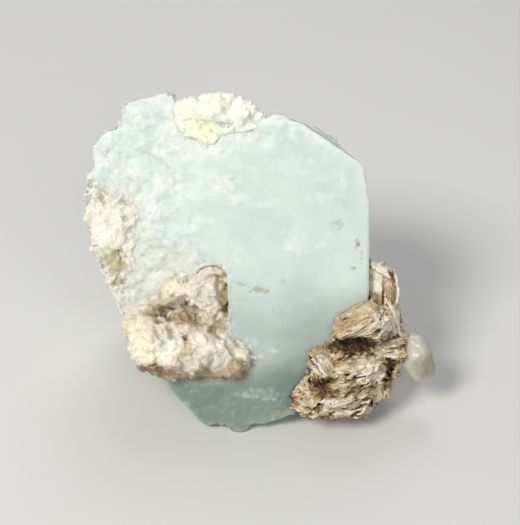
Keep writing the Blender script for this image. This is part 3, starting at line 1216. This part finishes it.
def plate_shape(rng, length, width, thickness, curl):
    """A bent plate with a torn outline, its long way along X."""
    bm = bmesh.new()
    bmesh.ops.create_grid(bm, x_segments=8, y_segments=4, size=0.5)
    twist = rng.uniform(-0.3, 0.3)
    for vert in bm.verts:
        on_rim = vert.is_boundary
        x = vert.co.x * (rng.uniform(0.86, 1.04) if on_rim else 1.0)
        narrow = 1.0 - 0.35 * abs(2.0 * x) ** 4
        y = vert.co.y * (rng.uniform(0.76, 1.08) if on_rim else 1.0) * narrow
        vert.co = Vector((x * length, y * width, curl * (4.0 * x * x - 0.5) + twist * x * y * 4.0))
    bmesh.ops.solidify(bm, geom=bm.faces[:], thickness=thickness)
    return Shape(bm)


def blade_shape(rng):
    """A small plate, its size and bend by chance."""
    length, width = rng.uniform(1.2, 3.2), rng.uniform(1.0, 2.0)
    return plate_shape(rng, length, width, rng.uniform(0.14, 0.28), rng.uniform(-0.25, 0.25))


def plate_frame(facing, along):
    """A turn that takes Z to the way a plate faces and X to its long way."""
    z = facing.normalized()
    x = (along - z * along.dot(z)).normalized()
    return Matrix((x, z.cross(x), z)).transposed()


def flow_at(place, flow):
    """The way plates face here: the nearest bundle's, turned a little for each small book."""
    wide = place + Vector([1.2 * sway(place, 2.5, seed) for seed in (41.0, 42.0, 43.0)])
    nearest = min(flow, key=lambda bundle: math.hypot(wide.x - bundle[0][0], wide.y - bundle[0][1]))
    stray = math.radians(nearest[2])
    book = noise.voronoi(place / 2.2)[1][0]
    lean = noise.cell_vector(book * 9.7) * 2.0 - Vector((1.0, 1.0, 1.0))
    return (Euler(lean * stray * 1.5).to_matrix() @ Vector(nearest[1])).normalized()


def plate_depth(place, facing):
    """How deep a place lies in its stack of plates, which wave a little."""
    return place.dot(facing) + 0.38 * sway(place, 1.8, 44.0)


def ridges(spot):
    """Thin ridges between wide grooves, from about -1 to 1."""
    return 1.0 - 4.0 * abs(noise.noise(spot))


def plate_lines(place, facing, fineness):
    """Ridges that run along the plates."""
    depth = plate_depth(place, facing) * fineness
    along = place - facing * place.dot(facing)
    return ridges(Vector((depth, 0.12 * fineness * along.length, fineness)))


ROLL_MIDDLE = Vector((18.4, -7.6, 0.6))
ROLL_ALONG = Vector((0.88, 0.47, 0.0)).normalized()
ROLL_UP = Vector((-0.47, 0.88, 0.0)).normalized()


def roll_lines(place, facing, fineness):
    """Ridges that run along the rolled book."""
    spot = place - ROLL_MIDDLE
    wave = 0.25 * sway(place, 2.0, 45.0)
    around = Vector((spot.dot(ROLL_UP) + wave, spot.z - wave, 0.10 * spot.dot(ROLL_ALONG)))
    return ridges(around * fineness * 0.8)


def dented(mesh, dents):
    """Pushes hollows into the side that faces the front."""
    points, normals = points_of(mesh), normals_of(mesh)
    for index, normal in enumerate(normals):
        place = Vector(points[index])
        for middle, reach, depth in dents:
            facing = ramp(normal[2], -0.2, 0.4)
            points[index, 2] -= depth * facing * blot(place, middle, reach, 0.3, 1.2)
    set_points(mesh, points)


def fan_left(up):
    """How far left the mica may reach, this far up the face."""
    return np.minimum(11.2, 6.4 + 0.77 * (up + 21.4))


# The rolled book's lower edge, across and up, and the mica's right edge, up and across
ROLL_FOOT = ((14.2, 18.6, 22.6), (-10.4, -9.3, -10.4))
MICA_RIGHT = ((-11.6, -10.2, -8.4, -5.2, -0.4), (26.2, 25.5, 24.9, 24.4, 24.2))


def trimmed(points, rolled):
    """Keeps the mica between its left and right edges, and the rolled book above its lower one."""
    ragged = np.array([0.35 * sway(Vector(point), 0.9, 46.0) for point in points])
    points[:, 0] = np.maximum(points[:, 0], fan_left(points[:, 1]) + ragged)
    beyond = points[:, 0] - np.interp(points[:, 1], *MICA_RIGHT) - ragged
    points[:, 0] -= 0.8 * np.maximum(beyond, 0.0)
    if rolled:
        points[:, 1] = np.maximum(points[:, 1], np.interp(points[:, 0], *ROLL_FOOT) + ragged)
    return points


def mica_shade(place):
    """How much darker than usual the mica is here."""
    shift = 0.16 * sway(place, 2.4, 51.0)
    for middle, reach, change in MICA_PATCHES:
        shift += change * blot(place, middle, reach, 0.6, 0.9)
    return shift


class Bundle(NamedTuple):
    """How a mass of mica grows on its solid."""

    flow: list  # which way its plates face
    blades: int  # how many small plates stand out of it
    plates: list  # the large ones
    dents: list  # hollows in its solid: middle, reach and depth
    softened: int  # rounds of smoothing before they grow
    lines: object  # what gives its ridges
    darker: float


def blade_place(place, normal, flow, rng):
    """Where a small plate stands: edge out of the mass, or flat on it where plates face out."""
    stray = Euler([rng.gauss(0.0, 0.12) for _ in range(3)]).to_matrix()
    facing = stray @ flow_at(place, flow)
    across = facing.cross(normal)
    size = rng.uniform(0.6, 1.0)
    outward = normal - facing * normal.dot(facing)
    if across.length > 0.3:
        along = across.normalized() + outward.normalized() * rng.gauss(0.0, 0.2)
        middle = place - outward.normalized() * (0.85 * size - rng.uniform(-0.1, 0.2))
    else:
        along = Vector([rng.uniform(-1.0, 1.0) for _ in range(3)])
        middle = place - normal * rng.uniform(0.0, 0.2)
    turn = plate_frame(facing, along).to_4x4()
    return Matrix.Translation(middle) @ turn @ Matrix.Scale(size, 4)


def mica_pile(core, places, bundle, rng):
    """A mass's core with its large plates, and small ones at the places."""
    pile = Pile()
    pile.add_mesh(core)
    for plate in bundle.plates:
        shape = plate_shape(rng, *plate.size, plate.curl)
        turn = plate_frame(Vector(plate.facing), Vector(plate.along)).to_4x4()
        pile.add(shape, Matrix.Translation(plate.middle) @ turn)
    shapes = [blade_shape(rng) for _ in range(BLADE_SHAPES)]
    for place, normal in places:
        if place.x >= fan_left(place.y) - 0.2:
            matrix = blade_place(place, normal, bundle.flow, rng)
            pile.add(rng.choice(shapes), matrix)
    return pile


def ridged(net, bundle):
    """Raises ridges on a mass's torn edges.

    Returns its points, how far each stands on a ridge, and how deep it lies in its stack.
    """
    points, lines, depths = points_of(net), [], []
    for index, normal in enumerate(normals_of(net)):
        place = Vector(points[index])
        facing = flow_at(place, bundle.flow)
        edge_on = max(0.25, 1.0 - Vector(normal).dot(facing) ** 2)
        coarse, fine = (bundle.lines(place, facing, fineness) for fineness in RIDGES)
        points[index] += normal * edge_on * (0.15 * coarse + 0.12 * fine)
        lines.append(edge_on * (0.16 * coarse + 0.26 * fine))
        depths.append(plate_depth(place, facing))
    return points, lines, depths


def mica_mesh(node, bundle, voxel, seed, neighbours):
    """The CAD book's form with plates grown out of it, and ridged along the plates."""
    rng = random.Random(seed)
    rough = node_shape(node)
    places = surface_points(rough, bundle.blades, rng)
    rough.free()
    core, _ = softened_net(node, BED_NET, bundle.softened)
    dented(core, bundle.dents)
    net = mica_pile(core, places, bundle, rng).net(voxel)
    evened(net, 0.4, 1)
    points, lines, depths = ridged(net, bundle)
    points = trimmed(points, bundle.lines is roll_lines)
    set_points(net, points)
    shades = []
    for point, line, free in zip(points, lines, opennesses(net, neighbours, MICA_SKY)):
        hidden = ramp(0.72 - free, 0.0, 0.6)
        shades.append(bundle.darker - line + mica_shade(Vector(point)) + 0.85 * hidden)
    store(net, shade=shades, depth=depths)
    return net


# The small quartz crystal

QUARTZ_NET = 0.2  # spacing of its net, in mm
QUARTZ_ROUNDS = 30  # rounds of smoothing, which wear its edges
QUARTZ_FREE = (26.0, 30.0)  # across: from the mica to its free side
QUARTZ_SQUEEZE = 0.5  # how far its free side is drawn in, in mm
QUARTZ_HEART = ((28.3, -14.4), (2.6, 2.6))  # its clearer middle: place and reach


def quartz_mesh():
    """The CAD quartz with worn edges and a slightly uneven surface."""
    net, _ = softened_net("quartz_crystal", QUARTZ_NET, QUARTZ_ROUNDS)
    raised(net, lambda place: 0.12 + 0.10 * sway(place, 1.4, 2.0) + 0.09 * facets(place, 1.9, 8.0))
    points = points_of(net)
    points[:, 0] -= QUARTZ_SQUEEZE * np.interp(points[:, 0], QUARTZ_FREE, (0.0, 1.0))
    set_points(net, points)
    heart = [blot(Vector(point), *QUARTZ_HEART, 0.12, 2.0) for point in points_of(net)]
    store(net, heart=heart)
    return net


# Operators


class SpecimenSizes(bpy.types.PropertyGroup):
    """How fine the specimen's finish is."""

    crystal_net: FloatProperty(
        name="Crystal net", description="Spacing of the crystal's fine surface, in millimetres",
        default=0.32, min=0.2, max=2.0,
    )  # fmt: skip
    crust_net: FloatProperty(
        name="Crust net", description="Spacing of the crusts' fine surface, in millimetres",
        default=0.14, min=0.1, max=1.0,
    )  # fmt: skip
    crust_grains: IntProperty(
        name="Crust grains", description="Grains grown on the quartz crust", default=420, min=1,
    )  # fmt: skip
    fan_blades: IntProperty(
        name="Fan blades", description="Mica plates that stand out of the fan", default=1100, min=1,
    )  # fmt: skip
    mica_net: FloatProperty(
        name="Mica net", description="Spacing of the mica's fine surface, in millimetres",
        default=0.135, min=0.1, max=1.0,
    )  # fmt: skip


def shade(name, description, default):
    """A setting that is a colour."""
    return FloatVectorProperty(
        name=name, description=description, default=default, subtype="COLOR", size=3,
        min=0.0, max=1.0,
    )  # fmt: skip


class SpecimenColours(bpy.types.PropertyGroup):
    """Colours of the minerals, as linear red, green and blue."""

    pale_blue: shade("Pale blue", "Body of the aquamarine", (0.665, 0.745, 0.690))
    grey_blue: shade("Grey blue", "Cloudier patches of the aquamarine", (0.585, 0.670, 0.625))
    shadow_blue: shade("Shadow blue", "Clearer spots in the worn part", (0.53, 0.62, 0.58))
    teal: shade("Teal", "Clear, deep aquamarine near the foot", (0.18, 0.247, 0.205))
    milky_white: shade("Milky white", "Veils and inclusions", (0.84, 0.88, 0.80))
    sparkle: shade("Sparkle", "Small bright inclusions", (0.93, 0.94, 0.89))
    grainy: shade("Grainy", "Rind on the crystal beside a crust", (0.80, 0.77, 0.67))
    crust_grey: shade("Crust grey", "Duller patches of that rind", (0.66, 0.66, 0.56))
    stain_grey: shade("Stain grey", "Thin stains on the aquamarine", (0.55, 0.53, 0.42))
    brown: shade("Brown", "Strong stains on the aquamarine", (0.26, 0.21, 0.13))
    olive: shade("Olive", "Yellow-green stain", (0.44, 0.38, 0.20))
    crust_light: shade("Crust light", "Fresh faces of the crust", (0.82, 0.76, 0.63))
    crust_warm: shade("Crust warm", "Pinkish grains of the crust", (0.70, 0.59, 0.46))
    crust_cream: shade("Crust cream", "Yellow-white crystals of the crust", (0.88, 0.83, 0.63))
    crust_white: shade("Crust white", "White crystals of the crust", (0.90, 0.86, 0.76))
    crust_orange: shade("Crust orange", "Orange tint in the crust", (0.72, 0.54, 0.30))
    crust_rust: shade("Crust rust", "Rusty ledge under the crust", (0.24, 0.13, 0.05))
    crust_tan: shade("Crust tan", "Stained underside of the crust", (0.42, 0.33, 0.20))
    crust_brown: shade("Crust brown", "Brown hollows of the crust", (0.36, 0.27, 0.15))
    edge_olive: shade("Edge olive", "Yellow-green stain on the left edge", (0.50, 0.45, 0.25))
    edge_light: shade("Edge light", "Rind on the crystal's left edge", (0.84, 0.80, 0.70))
    grey_quartz: shade("Grey quartz", "Clear grains in the crust", (0.62, 0.62, 0.54))
    crevice: shade("Crevice", "Dirt between the crust's grains", (0.30, 0.21, 0.11))
    dark_brown: shade("Dark brown", "The deepest hollows", (0.05, 0.027, 0.012))
    cap_light: shade("Cap light", "Cream feldspar", (0.89, 0.91, 0.78))
    cap_warm: shade("Cap warm", "Duller grains of the feldspar", (0.85, 0.84, 0.70))
    cap_yellow: shade("Cap yellow", "Yellower feldspar", (0.93, 0.90, 0.66))
    cap_grey: shade("Cap grey", "Greyer feldspar", (0.74, 0.75, 0.66))
    cap_rim: shade("Cap rim", "Where the feldspar thins out", (0.83, 0.87, 0.76))
    cap_crevice: shade("Cap crevice", "Between the feldspar's grains", (0.70, 0.66, 0.52))
    mica_white: shade("Mica white", "Torn edges of the mica", (0.82, 0.74, 0.62))
    mica_cream: shade("Mica cream", "Fresh mica plates", (0.605, 0.49, 0.295))
    mica_tan: shade("Mica tan", "Stained mica plates", (0.36, 0.23, 0.095))
    rust: shade("Rust", "Between the mica plates", (0.13, 0.06, 0.022))
    quartz_white: shade("Quartz white", "The small quartz crystal", (0.54, 0.53, 0.45))
    quartz_warm: shade("Quartz warm", "Warmer haze in the quartz", (0.47, 0.45, 0.37))
    quartz_heart: shade("Quartz heart", "The clearer middle of the quartz", (0.36, 0.32, 0.25))
    floor: shade("Floor", "The floor", (0.66, 0.65, 0.63))
    floor_grey: shade("Floor grey", "Duller patches of the floor", (0.62, 0.61, 0.59))


def settings_of(context):
    """The specimen's sizes and its colours."""
    return context.scene.specimen_sizes, context.scene.specimen_colours


def cad_tree(name):
    """A CAD node's surface, to find how near it is to a place."""
    bm = node_shape(name)
    tree = BVHTree.FromBMesh(bm)
    bm.free()
    return tree


MICA_NODES = ("mica_fan", "mica_upper_book", "mica_side_book")
UPPER_SHARE, SIDE_SHARE = 60, 90  # the fan has this many times each book's small plates


class SPECIMEN_OT_crystal(bpy.types.Operator):
    """Give the aquamarine crystal its etched, veined and broken surface"""

    bl_idname = "specimen.crystal"
    bl_label = "Aquamarine crystal"

    def execute(self, context):
        sizes, colours = settings_of(context)
        groups = (("feldspar_cap",), ("quartz_crust", "edge_crust"), MICA_NODES)
        neighbours = [[cad_tree(name) for name in names] for names in groups]
        mesh = crystal_mesh(sizes.crystal_net, *neighbours)
        material = aquamarine_material(colours)
        add_piece("aquamarine_crystal_surface", mesh, material, "aquamarine_crystal")
        return {"FINISHED"}


class SPECIMEN_OT_crusts(bpy.types.Operator):
    """Grow the quartz crusts and the feldspar cap"""

    bl_idname = "specimen.crusts"
    bl_label = "Crusts"

    def execute(self, context):
        sizes, colours = settings_of(context)
        crystal = piece_shape("aquamarine_crystal_surface")
        carrier = BVHTree.FromBMesh(crystal)
        quartz = crust_material("quartz_crust", colours, colours.crevice, colours.crust_white)
        cream = crust_material("cream_feldspar", colours, colours.cap_crevice, colours.sparkle)
        stone = painter(colours, "crust_light", "crust_warm", "grainy", CRUST_PATCHES)
        edge = painter(colours, "edge_light", "crust_cream", "grainy", EDGE_PATCHES)
        cap = painter(colours, "cap_light", "cap_warm", "cap_rim", CAP_PATCHES)
        count, net = sizes.crust_grains, sizes.crust_net
        plans = (
            ("quartz_crust", "quartz_crust", quartz, stone, CRUST_FILLS, Growth(
                grains=count, sizes=(0.5, 2.6), sunk=(0.12, 0.42), spilled=600, strays=1.8,
                standing=1.0, skirt=0.62, softened=2, evened=1, lightest=0.05,
            )),
            ("edge_crust", "quartz_crust", quartz, edge, EDGE_FILLS, Growth(
                grains=count // 2, sizes=(0.3, 1.1), sunk=(0.38, 0.47), spilled=900, strays=3.0,
                standing=0.5, softened=16, evened=3, lightest=0.82,
            )),
            ("feldspar_cap", "cream_feldspar", cream, cap, CAP_FILLS, Growth(
                grains=count // 3, sizes=(0.5, 1.8), sunk=(0.42, 0.48), spilled=0, strays=1.0,
                standing=0.4, thickness=0.5, softened=20, evened=7, lightest=0.7,
            )),
        )
        for seed, (node, slot, material, paint, fills, growth) in enumerate(plans, 1):
            mesh = crust_mesh(node, growth, net, seed, crystal, carrier, paint, fills)
            add_piece(f"{node}_grains", mesh, material, node)
        crystal.free()
        return {"FINISHED"}


class SPECIMEN_OT_mica(bpy.types.Operator):
    """Grow the three masses of mica blades"""

    bl_idname = "specimen.mica"
    bl_label = "Mica"

    def execute(self, context):
        sizes, colours = settings_of(context)
        material = mica_material(colours)
        trees = {name: cad_tree(name) for name in (*MICA_NODES, "aquamarine_crystal")}
        count = sizes.fan_blades
        bundles = {
            "mica_fan": Bundle(
                flow=FAN_FLOW, plates=FAN_PLATES, dents=FAN_DENTS,
                blades=count, softened=3, lines=plate_lines, darker=0.30,
            ),
            "mica_upper_book": Bundle(
                flow=UPPER_FLOW, plates=UPPER_PLATES, dents=UPPER_DENTS,
                blades=count // UPPER_SHARE, softened=9, lines=roll_lines, darker=0.35,
            ),
            "mica_side_book": Bundle(
                flow=SIDE_FLOW, plates=SIDE_PLATES, dents=SIDE_DENTS,
                blades=count // SIDE_SHARE, softened=8, lines=plate_lines, darker=0.16,
            ),
        }
        for seed, (node, bundle) in enumerate(bundles.items(), 11):
            near = [tree for name, tree in trees.items() if name != node]
            mesh = mica_mesh(node, bundle, sizes.mica_net, seed, near)
            add_piece(f"{node}_blades", mesh, material, node)
        return {"FINISHED"}


class SPECIMEN_OT_quartz(bpy.types.Operator):
    """Give the small quartz crystal its rounded, milky surface"""

    bl_idname = "specimen.quartz"
    bl_label = "Quartz crystal"

    def execute(self, context):
        _, colours = settings_of(context)
        mesh, material = quartz_mesh(), quartz_material(colours)
        add_piece("quartz_crystal_surface", mesh, material, "quartz_crystal")
        return {"FINISHED"}


FLOOR_SIZE = 1.6  # in m
LENS = 90.0  # in mm, as is the sensor
SENSOR = 36.0
PIXELS_PER_MM = 6.86
FRAME_PIXELS = 525.0
CAMERA_ELEVATION = math.radians(38.0)
CLIP_START = 0.01
AIM_ASIDE = -0.2 * MM
AIM_UP = -2.1 * MM
BACKDROP = (0.80, 0.83, 0.86, 1.0)
BACKDROP_STRENGTH = 0.34

LAMPS = [  # name, place in m, size in m, power in W, colour
    ("key", (-0.32, -0.30, 0.50), 0.24, 3.2, (1.0, 0.99, 0.95)),
    ("fill", (0.20, -0.55, 0.42), 0.50, 1.2, (0.96, 0.98, 1.0)),
    ("rim", (0.05, 0.45, 0.50), 0.35, 0.9, (1.0, 1.0, 1.0)),
]


def aim(obj, target):
    """Turns a lamp or the camera towards a place."""
    obj.rotation_euler = (target - obj.location).to_track_quat("-Z", "Y").to_euler()


def add_floor(scene, colours):
    """A wide pale floor at the foot."""
    bm = bmesh.new()
    bmesh.ops.create_grid(bm, x_segments=1, y_segments=1, size=FLOOR_SIZE / 2)
    mesh = bpy.data.meshes.new("floor")
    bm.to_mesh(mesh)
    bm.free()
    mesh.materials.append(floor_material(colours))
    floor = bpy.data.objects.new("floor", mesh)
    scene.collection.objects.link(floor)


def add_lamps(scene, middle):
    """Round soft lamps, turned to the specimen's middle."""
    for name, place, size, power, colour in LAMPS:
        lamp = bpy.data.lights.new(name, "AREA")
        lamp.shape, lamp.size, lamp.energy, lamp.color = "DISK", size, power, colour
        obj = bpy.data.objects.new(name, lamp)
        obj.location = place
        aim(obj, middle)
        scene.collection.objects.link(obj)


def add_backdrop(scene):
    """An even, faint light from all round."""
    world = bpy.data.worlds.new("studio")
    world.use_nodes = True
    backdrop = world.node_tree.nodes["Background"]
    backdrop.inputs["Color"].default_value = BACKDROP
    backdrop.inputs["Strength"].default_value = BACKDROP_STRENGTH
    scene.world = world
    scene.view_settings.view_transform = "Standard"


def add_camera(scene, middle):
    """A long lens that looks down on the front."""
    look = Vector((0.0, math.cos(CAMERA_ELEVATION), -math.sin(CAMERA_ELEVATION)))
    above = Vector((0.0, math.sin(CAMERA_ELEVATION), math.cos(CAMERA_ELEVATION)))
    target = middle + above * AIM_UP + Vector((AIM_ASIDE, 0.0, 0.0))
    distance = FRAME_PIXELS / PIXELS_PER_MM * MM * LENS / SENSOR
    data = bpy.data.cameras.new("camera")
    data.lens, data.sensor_width, data.clip_start = LENS, SENSOR, CLIP_START
    camera = bpy.data.objects.new("camera", data)
    camera.location = target - look * distance
    aim(camera, target)
    scene.collection.objects.link(camera)
    scene.camera = camera


class SPECIMEN_OT_stage(bpy.types.Operator):
    """Set the pale floor, the soft lights and the camera"""

    bl_idname = "specimen.stage"
    bl_label = "Stage"

    def execute(self, context):
        _, colours = settings_of(context)
        middle = Vector((0.0, 0.0, CAD_BOX[1][2] / 2))
        add_floor(context.scene, colours)
        add_lamps(context.scene, middle)
        add_backdrop(context.scene)
        add_camera(context.scene, middle)
        return {"FINISHED"}


class SPECIMEN_PT_panel(bpy.types.Panel):
    """Lists the specimen's pieces"""

    bl_label = "Aquamarine specimen"
    bl_space_type = "VIEW_3D"
    bl_region_type = "UI"
    bl_category = "Specimen"

    def draw(self, context):
        for operator in OPERATORS:
            self.layout.operator(operator.bl_idname)
        for group in settings_of(context):
            for name in group.__annotations__:
                self.layout.prop(group, name)


OPERATORS = (
    SPECIMEN_OT_crystal, SPECIMEN_OT_crusts, SPECIMEN_OT_mica, SPECIMEN_OT_quartz,
    SPECIMEN_OT_stage,
)  # fmt: skip
CLASSES = (SpecimenSizes, SpecimenColours, *OPERATORS, SPECIMEN_PT_panel)


def register():
    for cls in CLASSES:
        bpy.utils.register_class(cls)
    bpy.types.Scene.specimen_sizes = PointerProperty(type=SpecimenSizes)
    bpy.types.Scene.specimen_colours = PointerProperty(type=SpecimenColours)


def unregister():
    del bpy.types.Scene.specimen_colours
    del bpy.types.Scene.specimen_sizes
    for cls in reversed(CLASSES):
        bpy.utils.unregister_class(cls)


def main():
    """Builds the specimen and its stage, and writes how large it is."""
    register()
    bpy.ops.specimen.crystal()
    bpy.ops.specimen.crusts()
    bpy.ops.specimen.mica()
    bpy.ops.specimen.quartz()
    bpy.ops.specimen.stage()
    bpy.context.view_layer.update()


if __name__ == "__main__":
    main()
